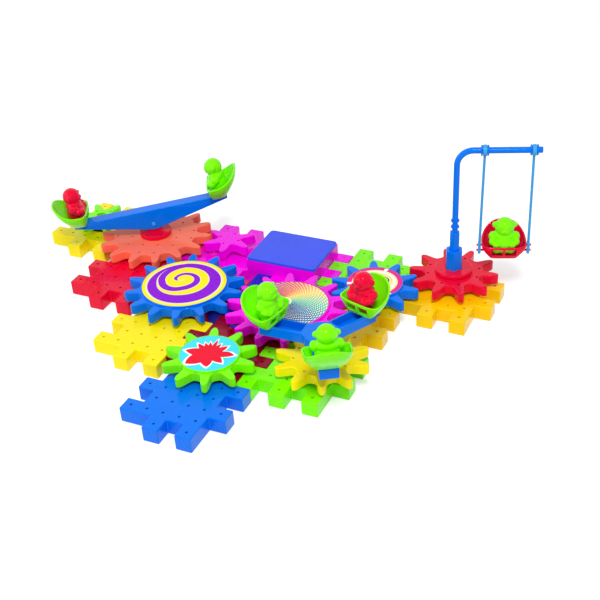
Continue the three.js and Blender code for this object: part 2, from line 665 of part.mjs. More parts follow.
// motor unit: two plates in one housing, with a lidded box that holds the motor and two batteries
{
  const cells = [...plateCells(-5, 15), ...plateCells(0, 15)];
  const left = (-coreCells - 1 / 2) * cell + inset;
  const right = (coreCells + 1 / 2) * cell - inset;
  const front = (15 - 1 / 2) * cell + inset;
  const back = (15 + coreCells - 1 / 2) * cell - inset;
  const deck = plateThick - deckThick;
  const boxX = right - boxLength / 2;
  const boxY = front + boxWidth / 2;
  const boxTop = plateThick + boxRise;
  const room = { x: boxLength - 2 * shellWall, y: boxWidth - 2 * shellWall };
  const hall = { x: right - left - 2 * shellWall, y: back - front - 2 * shellWall };
  const [hallX, hallY] = [(left + right) / 2, (front + back) / 2];

  const out = train.small_magenta;
  const spurTeeth = 35;
  const pinionTeeth = 10;
  const wheelTeeth = 20;
  const bore = stubRadius + fit / apothem(boreSides);
  const inFloor = coverThick + fit;
  // the motor stands off the nearer back wall, and the worm wheel goes round the output gear to meet its worm
  const motorBack = Math.min(boxY + room.y / 2, hallY + hall.y / 2) - motorClear;
  const axisY = motorBack - motorWidth / 2;
  const wheelY = axisY - fineTip(wheelTeeth) - wormRadius - fit;
  const wheelReach = finePitch(spurTeeth) + finePitch(pinionTeeth) + fit;
  const wheelTurn = Math.asin((wheelY - out.y) / wheelReach);
  const wheelX = out.x + wheelReach * Math.cos(wheelTurn);
  const axisZ = deck - fit - wormRadius;
  const motorX = Math.max(boxX - room.x / 2, wheelX + fineTip(wheelTeeth)) + motorSetback;
  const motorHeight = 2 * (axisZ - inFloor);
  const wormLength = motorX - fit - wheelX + wormPast;

  const knobX = boxX + boxLength / 4;
  const knobZ = plateThick + boxRise / 2;
  const wallY = boxY + boxWidth / 2;
  const slot = block(knobLength + switchTravel + 2 * fit, shellWall + 2 * overrun, knobHeight + 2 * fit,
    knobX + switchTravel / 2, wallY - shellWall / 2, knobZ - knobHeight / 2 - fit);
  const housing = cut(
    join(prism(cellOutline(cells), plateThick, 0), block(boxLength, boxWidth, boxRise, boxX, boxY, plateThick)),
    block(hall.x, hall.y, deck + overrun, hallX, hallY, -overrun),
    block(room.x, room.y, deckThick + boxRise + 2 * overrun, boxX, boxY, deck - overrun),
    disc(outputRadius + fit / apothem(boreSides), deckThick + 2 * overrun, deck - overrun, boreSides, out.x, out.y),
    slot,
  );
  addNode(toy, 'motor_housing', housing, plastic(paint.magenta));

  const corner = (lx, ly, radius) => {
    const points = [];
    const cornerSteps = 4;
    for (const [sx, sy, from] of [[1, 1, 0], [-1, 1, 1], [-1, -1, 2], [1, -1, 3]]) {
      for (let k = 0; k <= cornerSteps; k++) {
        const a = Math.PI / 2 * (from + k / cornerSteps);
        points.push([
          boxX + sx * (lx / 2 - radius) + radius * Math.cos(a),
          boxY + sy * (ly / 2 - radius) + radius * Math.sin(a),
        ]);
      }
    }
    return points;
  };
  const lipOut = { x: room.x - 2 * fit, y: room.y - 2 * fit };
  const lip = cut(
    block(lipOut.x, lipOut.y, lidLip + 2 * fit, boxX, boxY, boxTop - lidLip),
    block(lipOut.x - 2 * lidLip, lipOut.y - 2 * lidLip, lidLip + 2 * overrun, boxX, boxY, boxTop - lidLip - overrun),
  );
  addNode(toy, 'motor_lid', join(prism(corner(boxLength, boxWidth, lidCorner), lidThick, boxTop + fit), lip),
    plastic(paint.lid));

  const stub = (x, topZ, y) => disc(stubRadius, topZ - coverThick / 2, coverThick / 2, boreSides, x, y);
  const spurTop = inFloor + fineThick;
  const wheelZ = axisZ - fineThick / 2;
  const cover = join(
    block(hall.x - 2 * fit, hall.y - 2 * fit, coverThick, hallX, hallY, 0),
    stub(out.x, spurTop, out.y),
    stub(wheelX, wheelZ + fineThick, wheelY),
  );
  addNode(toy, 'motor_bottom_cover', cover, plastic(paint.magenta));

  const can = cut(
    block(motorLength, motorWidth, motorHeight, motorX + motorLength / 2, axisY, inFloor),
    rodX(motorShaftRadius + fit / apothem(pinSides), 2 * motorShaftLength, motorX, axisY, axisZ, pinSides),
  );
  addNode(toy, 'motor', can, metal(paint.steel));
  const worm = join(
    rodX(wormRadius, wormLength, motorX - fit - wormLength / 2, axisY, axisZ, boreSides),
    rodX(motorShaftRadius, motorShaftLength, motorX - fit - fit + motorShaftLength / 2, axisY, axisZ, pinSides),
  );
  addNode(toy, 'worm', worm, metal(paint.steel));

  const wheelPhase = meshPhase(spurTeeth, out.phase, THREE.MathUtils.radToDeg(wheelTurn), pinionTeeth);
  const wheelSpot = place(toy, wheelX, wheelY, 0, wheelPhase);
  const wheel = cut(
    join(fineGear(pinionTeeth, wheelZ - inFloor + fit, inFloor), fineGear(wheelTeeth, fineThick, wheelZ)),
    disc(bore, 2 * plateThick, 0, boreSides),
  );
  addNode(wheelSpot, 'worm_wheel_pinion', wheel, plastic(paint.white));

  const outSpot = place(toy, out.x, out.y, 0, out.phase);
  const shoulder = plateThick + gearLift - fit;
  const output = cut(
    join(
      fineGear(spurTeeth, fineThick, inFloor),
      disc(outputRadius, shoulder - inFloor, inFloor, boreSides),
      block(outputKey, outputKey, plateThick + postTop - fit - shoulder + overrun, 0, 0, shoulder - overrun),
    ),
    disc(bore, spurTop + fit, 0, boreSides),
  );
  addNode(outSpot, 'output_gear_shaft', output, plastic(paint.white));

  const batteryRoom = motorBack - motorWidth - (boxY - room.y / 2);
  const batteryRadius = batteryRoom * batteryShare;
  const batteryLength = room.x * batteryLengthShare;
  const batteryY = boxY - room.y / 2 + fit + batteryRadius;
  for (const k of [0, 1]) {
    const y = batteryY + k * (2 * batteryRadius + fit);
    const z = inFloor + batteryRadius;
    const flip = k ? -1 : 1;
    const battery = join(
      rodX(batteryRadius, batteryLength - batteryTip, boxX - flip * batteryTip / 2, y, z, boreSides),
      rodX(batteryRadius / 3, batteryTip + overrun, boxX + flip * (batteryLength - batteryTip - overrun) / 2, y, z, pinSides),
    );
    addNode(toy, `battery_${k + 1}`, battery, metal(paint.battery));
  }

  const sliderY = wallY - shellWall - fit - sliderThick;
  const slider = join(
    block(knobLength + switchTravel + 2 * sliderBorder, sliderThick, knobHeight + 2 * sliderBorder,
      knobX, sliderY + sliderThick / 2, knobZ - knobHeight / 2 - sliderBorder),
    block(knobLength, wallY + knobProud - sliderY, knobHeight,
      knobX, (wallY + knobProud + sliderY) / 2, knobZ - knobHeight / 2),
  );
  addNode(toy, 'power_switch', slider, plastic(paint.white));
}

// origin at the middle of the footprint, on the surface that it stands on
const bounds = new THREE.Box3().setFromObject(group, true);
const middle = bounds.getCenter(new THREE.Vector3());
toy.position.set(-middle.x, -middle.y, -bounds.min.z);

export default group;
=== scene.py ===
import json
import math

import bmesh
import bpy
from mathutils import Matrix, Vector


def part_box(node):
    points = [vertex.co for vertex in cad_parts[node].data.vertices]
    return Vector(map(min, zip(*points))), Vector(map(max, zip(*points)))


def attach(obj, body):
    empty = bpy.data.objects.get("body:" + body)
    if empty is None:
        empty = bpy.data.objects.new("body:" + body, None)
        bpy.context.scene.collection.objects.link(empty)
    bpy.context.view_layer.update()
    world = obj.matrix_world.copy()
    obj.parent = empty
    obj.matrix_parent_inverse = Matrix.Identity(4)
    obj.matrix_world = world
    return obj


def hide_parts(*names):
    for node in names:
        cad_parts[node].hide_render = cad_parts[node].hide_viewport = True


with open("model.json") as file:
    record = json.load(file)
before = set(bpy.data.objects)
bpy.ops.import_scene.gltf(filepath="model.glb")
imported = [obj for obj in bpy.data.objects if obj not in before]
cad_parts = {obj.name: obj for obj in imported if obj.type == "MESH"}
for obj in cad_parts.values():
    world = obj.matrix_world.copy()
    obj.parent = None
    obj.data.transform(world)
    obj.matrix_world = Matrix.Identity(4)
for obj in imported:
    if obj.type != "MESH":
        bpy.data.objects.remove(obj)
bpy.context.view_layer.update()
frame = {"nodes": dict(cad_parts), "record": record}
bpy.ops.object.select_all(action="DESELECT")
bodies = frame["record"]["behaviour"]["bodies"]
body_of = {node: body for body, nodes in bodies.items() for node in nodes}
slot_of = {row["node"]: row["material_slot"] for row in frame["record"]["subparts"]}

# ---------------------------------------------------------------- sizes, in millimetres
mm = 0.001
cell = 14.0
gap = 0.3
plate_top = 13.0
gear_low, gear_high, disc_high = 16.6, 25.2, 27.0
hole_radius, hole_depth = 1.2, 7
peg_radius, peg_depth = 1.05, 6.7
bore_radius, bore_roof = 4.3, 1.9
disc_rim, disc_recess, print_turn = 0.9, 0.3, 24
base = gear_high + gap
arm_top = gear_high + 23.8
lattice_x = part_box("plate_blue_front")[0].x / mm + cell / 2 - gap / 2
lattice_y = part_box("plate_blue_front")[0].y / mm + 3 * cell / 2 - gap / 2

# each gear's cell, its turn in degrees, and its printed disc's radius or its holes' reach in cells
gears = {
    "rosette": {"teeth": 14, "at": (4.5, 10.5), "turn": 9.2, "disc": 36.0},
    "spiral": {"teeth": 14, "at": (-2.5, 10.5), "turn": 7.16, "disc": 37.5},
    "orange": {"teeth": 14, "at": (-7.5, 15.5), "turn": 16.25, "reach": 2.6},
    "small_green": {"teeth": 6, "at": (-12.5, 16.5), "turn": 14.37, "reach": 0.8},
    "small_magenta": {"teeth": 6, "at": (-2.5, 16.5), "turn": 38.87, "reach": 0.8},
    "carousel": {"teeth": 10, "at": (8.5, 6.5), "turn": 5.12, "reach": 1.7},
    "rings": {"teeth": 10, "at": (8.5, 14.5), "turn": 5.12, "disc": 24.4},
    "swing": {"teeth": 10, "at": (12.5, 17.5), "turn": 10.12, "reach": 1.7},
    "burst": {"teeth": 10, "at": (2.5, 4.5), "turn": 39.37, "disc": 24.4},
}


def lattice(u, v):
    """The middle of a cell, in millimetres in the row frame."""
    return lattice_x + u * cell, lattice_y + v * cell


def gear_place(name):
    x, y = lattice(*gears[name]["at"])
    turn = math.radians(gears[name]["turn"])
    return Matrix.Translation((x * mm, y * mm, 0)) @ Matrix.Rotation(turn, 4, "Z")


# ---------------------------------------------------------------- modelling helpers
def only(*pieces):
    """Selects these pieces alone, the first one active."""
    bpy.ops.object.select_all(action="DESELECT")
    for piece in pieces:
        piece.select_set(True)
    bpy.context.view_layer.objects.active = pieces[0]


def in_edit(piece, select="SELECT"):
    only(piece)
    bpy.ops.object.mode_set(mode="EDIT")
    bpy.ops.mesh.select_mode(type="VERT")
    bpy.ops.mesh.select_all(action=select)


def out_of_edit():
    bpy.ops.object.mode_set(mode="OBJECT")


def settle(piece, place):
    """Puts a piece in its place and keeps the place in its mesh."""
    only(piece)
    piece.matrix_world = place
    bpy.ops.object.transform_apply(location=True, rotation=True, scale=True)
    return piece


def again(piece, name, place=None):
    copy = bpy.data.objects.new(name, piece.data.copy())
    bpy.context.scene.collection.objects.link(copy)
    return settle(copy, place) if place is not None else copy


def drop(*pieces):
    for piece in pieces:
        bpy.data.objects.remove(piece)


def ring(radius, sides):
    steps = [2 * math.pi * (k + 0.5) / sides for k in range(sides)]
    return [(radius * math.cos(a), radius * math.sin(a)) for a in steps]


def oblong(length, width, x=0.0, y=0.0):
    a, b = length / 2, width / 2
    return [(x - a, y - b), (x + a, y - b), (x + a, y + b), (x - a, y + b)]


def softened(points, radius, steps=4):
    """Rounds every corner of an outline, by at most the radius."""
    ring_points = []
    for k, corner in enumerate(points):
        here = Vector(corner)
        ends = []
        for other in (points[k - 1], points[(k + 1) % len(points)]):
            away = Vector(other) - here
            ends.append(here + away.normalized() * min(radius, 0.45 * away.length))
        for s in range(steps + 1):
            t = s / steps
            point = ends[0] * (1 - t) ** 2 + here * 2 * t * (1 - t) + ends[1] * t**2
            ring_points.append((point.x, point.y))
    return ring_points


def slab(name, outline, low, high):
    """A flat-faced solid: a circle pushed to the outline and extruded from low to high."""
    bpy.ops.object.select_all(action="DESELECT")
    bpy.ops.mesh.primitive_circle_add(vertices=len(outline), fill_type="NGON")
    piece = bpy.context.object
    piece.name = name
    for vertex, (x, y) in zip(piece.data.vertices, outline):
        vertex.co = (x * mm, y * mm, low * mm)
    in_edit(piece)
    rise = {"value": (0, 0, (high - low) * mm)}
    bpy.ops.mesh.extrude_region_move(TRANSFORM_OT_translate=rise)
    bpy.ops.mesh.select_all(action="SELECT")
    bpy.ops.mesh.normals_make_consistent(inside=False)
    out_of_edit()
    return piece


def wrapped(name, around, rows, point):
    """A grid bent round into a closed skin: point(turn share, row) gives each place in mm."""
    bpy.ops.object.select_all(action="DESELECT")
    bpy.ops.mesh.primitive_grid_add(x_subdivisions=around, y_subdivisions=rows - 1)
    piece = bpy.context.object
    piece.name = name
    for k, vertex in enumerate(piece.data.vertices):
        column, row = k % (around + 1), k // (around + 1)
        vertex.co = Vector(point(column % around / around, row)) * mm
    in_edit(piece)
    bpy.ops.mesh.remove_doubles(threshold=mm / 1000)
    bpy.ops.mesh.select_all(action="DESELECT")
    bpy.ops.mesh.select_mode(type="EDGE")
    bpy.ops.mesh.select_non_manifold(extend=False)
    bpy.ops.mesh.fill_holes(sides=0)
    bpy.ops.mesh.select_all(action="SELECT")
    bpy.ops.mesh.normals_make_consistent(inside=False)
    out_of_edit()
    return piece


def tube(name, path, radius, around=20):
    """A round bar along a path in mm that keeps near one upright plane."""
    path = [Vector(p) for p in path]
    side = (path[-1] - path[0]).cross(Vector((0, 0, 1)))
    side = side.normalized() if side.length > 1e-6 else Vector((0, 1, 0))

    def point(share, row):
        ahead = (path[min(row + 1, len(path) - 1)] - path[max(row - 1, 0)]).normalized()
        across = side.cross(ahead).normalized()
        a = 2 * math.pi * share
        return path[row] + (side * math.cos(a) + across * math.sin(a)) * radius

    return wrapped(name, around, len(path), point)


def bar(name, axis, radius, length, middle, around=24):
    """A round bar along X or Y, its middle in mm."""
    way = Vector((1, 0, 0)) if axis == "X" else Vector((0, 1, 0))
    ends = [Vector(middle) - way * length / 2, Vector(middle) + way * length / 2]
    return tube(name, ends, radius, around)


def round_edges(piece, width, chosen=None, steps=3, sharp=40):
    """Rounds the sharp edges whose middle, in mm, and edge the chooser accepts."""
    in_edit(piece, "DESELECT")
    bpy.ops.mesh.select_mode(type="EDGE")
    shape = bmesh.from_edit_mesh(piece.data)
    for edge in shape.edges:
        if len(edge.link_faces) == 2 and edge.calc_face_angle() > math.radians(sharp):
            middle = (edge.verts[0].co + edge.verts[1].co) / 2 / mm
            edge.select_set(chosen is None or chosen(middle, edge))
    bmesh.update_edit_mesh(piece.data)
    bpy.ops.mesh.bevel(
        offset=width * mm, segments=steps, profile=0.5, affect="EDGES", clamp_overlap=True
    )
    out_of_edit()
    return piece


def shaped_by(piece, tool, operation):
    """Joins a tool to a piece or cuts it out, and takes the tool away."""
    change = piece.modifiers.new(operation.lower(), "BOOLEAN")
    change.operation = operation
    change.solver = "EXACT"
    change.object = tool
    only(piece)
    bpy.ops.object.modifier_apply(modifier=change.name)
    drop(tool)
    return piece


def carve(piece, tool):
    return shaped_by(piece, tool, "DIFFERENCE")


def fuse(piece, *tools):
    for tool in tools:
        shaped_by(piece, tool, "UNION")
    return piece


def drills(places, radius, low, high, sides=16):
    """One tool of many drills, for holes at these places in mm."""
    tools = []
    bpy.ops.object.select_all(action="DESELECT")
    for x, y in places:
        bpy.ops.mesh.primitive_cylinder_add(
            vertices=sides,
            radius=radius * mm,
            depth=(high - low) * mm,
            location=(x * mm, y * mm, (low + high) / 2 * mm),
        )
        tools.append(bpy.context.object)
    only(*tools)
    bpy.ops.object.join()
    bpy.ops.object.transform_apply(location=True, rotation=True, scale=True)
    return bpy.context.object


def even_shading(piece, angle=35):
    """Smooth across small corners only, with the large faces kept flat."""
    only(piece)
    bpy.ops.object.shade_smooth_by_angle(angle=math.radians(angle))
    weigh = piece.modifiers.new("weigh", "WEIGHTED_NORMAL")
    weigh.keep_sharp = True
    bpy.ops.object.modifier_apply(modifier=weigh.name)


# ---------------------------------------------------------------- finishes
def paint(red, green, blue):
    """A colour from its display values, 0 to 255."""
    share = [c / 255 for c in (red, green, blue)]
    return tuple(s / 12.92 if s <= 0.04 else ((s + 0.055) / 1.055) ** 2.4 for s in share) + (1,)


def lighter(colour, share):
    return tuple(min(1.0, c * share) for c in colour[:3]) + (1,)


def new_material(name):
    material = bpy.data.materials.new(name)
    material.use_nodes = True
    tree = material.node_tree
    return material, tree, tree.nodes["Principled BSDF"]


def noise(tree, scale, detail=2.0):
    """Noise laid out in the object's own space, from 0 to 1."""
    where = tree.nodes.new("ShaderNodeTexCoord")
    grain = tree.nodes.new("ShaderNodeTexNoise")
    grain.inputs["Scale"].default_value = scale
    grain.inputs["Detail"].default_value = detail
    tree.links.new(where.outputs["Object"], grain.inputs["Vector"])
    return grain.outputs["Fac"]


def ramp(tree, value, stops):
    """A colour that follows the value through these stops."""
    node = tree.nodes.new("ShaderNodeValToRGB")
    elements = node.color_ramp.elements
    while len(elements) < len(stops):
        elements.new(1.0)
    # all the positions first, because they settle the elements' order
    for element, stop in zip(elements, stops):
        element.position = stop[0]
    for element, stop in zip(elements, stops):
        element.color = stop[1]
    tree.links.new(value, node.inputs["Fac"])
    return node.outputs["Color"]


def spread(tree, value, low, high):
    """Stretches a noise over the range from low to high."""
    node = tree.nodes.new("ShaderNodeMapRange")
    node.inputs["From Min"].default_value = 0.3
    node.inputs["From Max"].default_value = 0.7
    node.inputs["To Min"].default_value = low
    node.inputs["To Max"].default_value = high
    tree.links.new(value, node.inputs["Value"])
    return node.outputs["Result"]


def bumped(tree, shader, height, strength, distance):
    bump = tree.nodes.new("ShaderNodeBump")
    bump.inputs["Strength"].default_value = strength
    bump.inputs["Distance"].default_value = distance
    tree.links.new(height, bump.inputs["Height"])
    tree.links.new(bump.outputs["Normal"], shader.inputs["Normal"])


def moulded_plastic(name, colour, low=0.2, high=0.3, glow=0.0):
    """Glossy injection-moulded plastic: faint flow marks, uneven gloss, a fine moulded skin."""
    material, tree, shader = new_material(name)
    shades = [(0.3, lighter(colour, 0.965)), (0.55, colour), (0.75, lighter(colour, 1.02))]
    tree.links.new(ramp(tree, noise(tree, 38, detail=3), shades), shader.inputs["Base Color"])
    tree.links.new(spread(tree, noise(tree, 160, detail=2), low, high), shader.inputs["Roughness"])
    bumped(tree, shader, noise(tree, 420, detail=1), 0.03, 0.0002)
    shader.inputs["Specular IOR Level"].default_value = 0.3
    shader.inputs["Specular Tint"].default_value = colour
    shader.inputs["Coat Weight"].default_value = 0.16
    shader.inputs["Coat Roughness"].default_value = 0.05
    if glow:
        shader.inputs["Subsurface Weight"].default_value = glow
        shader.inputs["Subsurface Radius"].default_value = (0.004, 0.004, 0.002)
        shader.inputs["Subsurface Scale"].default_value = 1.0
    return material


def bare_metal(name, colour, low, high):
    """Drawn metal with fine lines along the part."""
    material, tree, shader = new_material(name)
    where = tree.nodes.new("ShaderNodeTexCoord")
    stretch = tree.nodes.new("ShaderNodeMapping")
    stretch.inputs["Scale"].default_value = (60, 900, 900)
    grain = tree.nodes.new("ShaderNodeTexNoise")
    grain.inputs["Scale"].default_value = 1.0
    tree.links.new(where.outputs["Object"], stretch.inputs["Vector"])
    tree.links.new(stretch.outputs["Vector"], grain.inputs["Vector"])
    tint = ramp(tree, grain.outputs["Fac"], [(0.3, lighter(colour, 0.85)), (0.7, colour)])
    tree.links.new(tint, shader.inputs["Base Color"])
    tree.links.new(spread(tree, grain.outputs["Fac"], low, high), shader.inputs["Roughness"])
    shader.inputs["Metallic"].default_value = 1.0
    bumped(tree, shader, grain.outputs["Fac"], 0.1, 0.0001)
    return material


finishes = {
    "blue": moulded_plastic("blue_plastic", paint(0, 116, 238)),
    "navy": moulded_plastic("navy_plastic", paint(8, 40, 190)),
    "yellow": moulded_plastic("yellow_plastic", paint(255, 234, 10)),
    "amber": moulded_plastic("amber_plastic", paint(255, 208, 4)),
    "lime": moulded_plastic("lime_plastic", paint(126, 248, 4), glow=0.1),
    "red": moulded_plastic("red_plastic", paint(232, 6, 54)),
    "maroon": moulded_plastic("maroon_plastic", paint(140, 2, 34)),
    "magenta": moulded_plastic("magenta_plastic", paint(246, 2, 230)),
    "orange": moulded_plastic("orange_plastic", paint(255, 116, 88)),
    "sky": moulded_plastic("light_blue_plastic", paint(60, 160, 228)),
    "white": moulded_plastic("white_plastic", paint(238, 238, 232)),
    "lid": moulded_plastic("lid_blue_plastic", paint(58, 84, 238), low=0.3, high=0.4),
    # near-black axles: painted shade, so the bores in the gears' middles read dark; the real axles'
    # own colour is not known
    "dark": moulded_plastic("axle_plastic_dark_for_painted_shade", paint(38, 34, 32), low=0.4, high=0.5),
    "motor_metal": bare_metal("drawn_motor_can", paint(190, 192, 198), 0.25, 0.45),
    "worm_brass": bare_metal("turned_brass", paint(222, 182, 96), 0.2, 0.35),
    "battery": bare_metal("battery_wrapper", paint(70, 110, 200), 0.3, 0.45),
}


def finish(piece, node, angle=35):
    """Shades a finished piece, lets it stand for its CAD node and ride on that node's body."""
    even_shading(piece, angle)
    piece.data.materials.clear()
    piece.data.materials.append(finishes[slot_of[node]])
    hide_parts(node)
    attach(piece, body_of[node])


# ---------------------------------------------------------------- base plates
# cells of a plate: a core of 4 x 4 and two tabs on each side
core = 4
tabs = [(2, -1), (4, -1), (1, core), (3, core), (0, 0), (0, 2), (core + 1, 1), (core + 1, 3)]
plate_cells = tabs + [(i, j) for i in range(1, core + 1) for j in range(core)]


def cell_outline(cells):
    """Walks round a set of cells, drawn in by half the gap between neighbours."""
    has = set(cells)
    following = {}
    for i, j in cells:
        if (i, j - 1) not in has:
            following[(i, j)] = (i + 1, j)
        if (i + 1, j) not in has:
            following[(i + 1, j)] = (i + 1, j + 1)
        if (i, j + 1) not in has:
            following[(i + 1, j + 1)] = (i, j + 1)
        if (i - 1, j) not in has:
            following[(i, j + 1)] = (i, j)
    loop = [next(iter(following))]
    while following[loop[-1]] != loop[0]:
        loop.append(following[loop[-1]])
    outline = []
    for k, here in enumerate(loop):
        last, then = loop[k - 1], loop[(k + 1) % len(loop)]
        ax, ay, bx, by = here[0] - last[0], here[1] - last[1], then[0] - here[0], then[1] - here[1]
        if (ax, ay) != (bx, by):
            x = (here[0] - 0.5) * cell - gap / 2 * (ay + by)
            y = (here[1] - 0.5) * cell + gap / 2 * (ax + bx)
            outline.append((x, y))
    return outline


def model_plate(name, cells):
    """A plate with rounded edges, a pin hole in every cell and four pockets underneath."""
    plate = slab(name, cell_outline(cells), 0, plate_top)
    round_edges(plate, 0.8)
    pocket = core / 2 * cell - 2
    for i in (1, 3):
        for j in (0, 2):
            outline = oblong(pocket, pocket, (i + 0.5) * cell, (j + 0.5) * cell)
            carve(plate, slab("pocket", softened(outline, 2), -1, plate_top - 2))
    centres = [(i * cell, j * cell) for i, j in cells]
    return carve(plate, drills(centres, hole_radius, plate_top - hole_depth, plate_top + 1))


plates = {
    "blue_front": (0, 0), "yellow_left": (-5, 5), "maroon_centre": (0, 5), "green_front": (5, 5),
    "red_left": (-10, 10), "red_centre": (-5, 10), "navy_centre": (0, 10), "amber_right": (5, 10),
    "yellow_back": (-15, 15), "red_back": (-10, 15), "green_back": (5, 15), "amber_back": (10, 15),
}
common_plate = model_plate("common_plate", plate_cells)
lone_tab_plate = model_plate("lone_tab_plate", plate_cells + [(0, -1)])
for name, (u, v) in plates.items():
    x, y = lattice(u, v)
    model = lone_tab_plate if name == "green_front" else common_plate
    plate = again(model, f"{name}_plate", Matrix.Translation((x * mm, y * mm, 0)))
    finish(plate, f"plate_{name}")
drop(common_plate, lone_tab_plate)


# ---------------------------------------------------------------- gears and axles
def gear_outline(teeth):
    """Teeth with rounded crowns and roots, tooth 0 along +X."""
    pitch = cell * teeth / 4
    flank = [(pitch - 10.2, 4.5), (pitch - 0.5, 3.1), (pitch + 1.8, 2.2), (pitch + 3.1, 0.9)]
    side = [(math.sqrt(r * r - w * w), -w) for r, w in flank]
    tooth = side + [(x, -y) for x, y in reversed(side)]
    outline = []
    for k in range(teeth):
        turn = Matrix.Rotation(2 * math.pi * k / teeth, 2)
        outline += [tuple(turn @ Vector(point)) for point in tooth]
    return softened(outline, 2.4)


def pin_places(reach):
    """Half-lattice places within reach, counted in cells."""
    steps = [k + 0.5 for k in range(-4, 4)]
    return [(a * cell, b * cell) for a in steps for b in steps if math.hypot(a, b) < reach]


def pegs_below(low, turn=0.0):
    """Four pegs that reach down from this height into a turned gear's or a plate's holes."""
    places = oblong(cell, cell)
    pegs = drills(places, peg_radius, low - peg_depth, low + 1, 12)
    return settle(pegs, Matrix.Rotation(math.radians(turn), 4, "Z"))


for name, gear in gears.items():
    piece = slab(f"{name}_gear", gear_outline(gear["teeth"]), gear_low, gear_high)
    round_edges(piece, 0.9, sharp=60)
    if "disc" in gear:
        seat = slab("seat", ring(gear["disc"], 128), gear_high - 2, disc_high)
        round_edges(seat, 0.45, lambda middle, edge: middle.z > gear_high, steps=2)
        fuse(piece, seat)
        edge = ring(gear["disc"] - disc_rim, 128)
        carve(piece, slab("recess", edge, disc_high - disc_recess, disc_high + 1))
    else:
        depth = 1.5 if name == "small_magenta" else hole_depth
        drilled = pin_places(gear["reach"])
        carve(piece, drills(drilled, hole_radius, gear_high - depth, gear_high + 1))
    if name == "small_magenta":
        carve(piece, slab("key", oblong(5.8, 5.8), gear_low - 1, gear_high - bore_roof))
    else:
        top = gear_high - bore_roof if "disc" in gear else gear_high + 1
        carve(piece, slab("bore", ring(bore_radius, 48), gear_low - 1, top))
    settle(piece, gear_place(name))
    finish(piece, f"gear_{name}")

flange = slab("axle", ring(12.5, 64), plate_top + gap, gear_low - gap)
round_edges(flange, 0.4, steps=2)
post = slab("post", ring(3.95, 48), plate_top + 1, gear_high - bore_roof - gap)
round_edges(post, 0.5, steps=2)
fuse(flange, post, pegs_below(plate_top))
carve(flange, slab("hollow", ring(2.7, 32), plate_top + 2, gear_high))
for name in gears:
    if name != "small_magenta":
        x, y = lattice(*gears[name]["at"])
        axle = again(flange, f"{name}_axle", Matrix.Translation((x * mm, y * mm, 0)))
        finish(axle, f"axle_{name}")
drop(flange)


# ---------------------------------------------------------------- printed discs
class Reading:
    """A number worked out at each point of a print by math nodes."""

    def __init__(self, tree, source):
        self.tree, self.source = tree, source

    def work(self, operation, *others):
        node = self.tree.nodes.new("ShaderNodeMath")
        node.operation = operation
        for socket, value in zip(node.inputs, (self, *others)):
            if isinstance(value, Reading):
                self.tree.links.new(value.source, socket)
            else:
                socket.default_value = value
        return Reading(self.tree, node.outputs[0])

    def __add__(self, other):
        return self.work("ADD", other)

    def __sub__(self, other):
        return self.work("SUBTRACT", other)

    def __mul__(self, other):
        return self.work("MULTIPLY", other)

    def __truediv__(self, other):
        return self.work("DIVIDE", other)

    def over(self, other):
        return self.work("GREATER_THAN", other)

    def under(self, other):
        return self.work("LESS_THAN", other)


def blend(tree, share, below, above):
    """The colour below where the share is 0, and the one above where it is 1."""
    node = tree.nodes.new("ShaderNodeMix")
    node.data_type = "RGBA"
    tree.links.new(share.source, node.inputs["Factor"])
    for socket, colour in ((node.inputs["A"], below), (node.inputs["B"], above)):
        sockets = [s for s in node.inputs if s.name == socket.name and s.type == "RGBA"]
        if isinstance(colour, tuple):
            sockets[0].default_value = colour
        else:
            tree.links.new(colour, sockets[0])
    return [s for s in node.outputs if s.type == "RGBA"][0]


def print_material(name, gear, draw):
    """Glossy printed card whose colours draw(tree, x, y) gives, x and y in mm from its middle."""
    material, tree, shader = new_material(name)
    place = gear_place(gear)
    where = tree.nodes.new("ShaderNodeTexCoord")
    centre = tree.nodes.new("ShaderNodeMapping")
    centre.vector_type = "TEXTURE"
    centre.inputs["Location"].default_value = place.to_translation()
    centre.inputs["Rotation"].default_value = (0, 0, math.radians(print_turn))
    centre.inputs["Scale"].default_value = (mm, mm, mm)
    parts = tree.nodes.new("ShaderNodeSeparateXYZ")
    tree.links.new(where.outputs["Object"], centre.inputs["Vector"])
    tree.links.new(centre.outputs["Vector"], parts.inputs["Vector"])
    x, y = Reading(tree, parts.outputs["X"]), Reading(tree, parts.outputs["Y"])
    tree.links.new(draw(tree, x, y), shader.inputs["Base Color"])
    tree.links.new(spread(tree, noise(tree, 220), 0.22, 0.32), shader.inputs["Roughness"])
    bumped(tree, shader, noise(tree, 1500, detail=1), 0.04, 0.0001)
    shader.inputs["Coat Weight"].default_value = 0.03
    shader.inputs["Specular IOR Level"].default_value = 0.1
    shader.inputs["Coat Roughness"].default_value = 0.05
    return material


def radius_of(x, y):
    return (x * x + y * y).work("SQRT")


def turn_of(x, y):
    """The share of a turn round the middle, 0 to 1."""
    return (y.work("ARCTAN2", x) / (2 * math.pi) + 1.0).work("FRACT")


purple, sun, cream = paint(140, 0, 216), paint(255, 236, 20), paint(250, 236, 190)
white, pink, cyan = paint(250, 250, 250), paint(232, 40, 140), paint(70, 222, 240)
scarlet, ink, straw = paint(236, 14, 50), paint(40, 40, 120), paint(240, 206, 60)


def number(tree, share, stops):
    """A number that follows the share through these stops."""
    shades = [(at, (value, value, value, 1)) for at, value in stops]
    return Reading(tree, ramp(tree, share.source, shades))


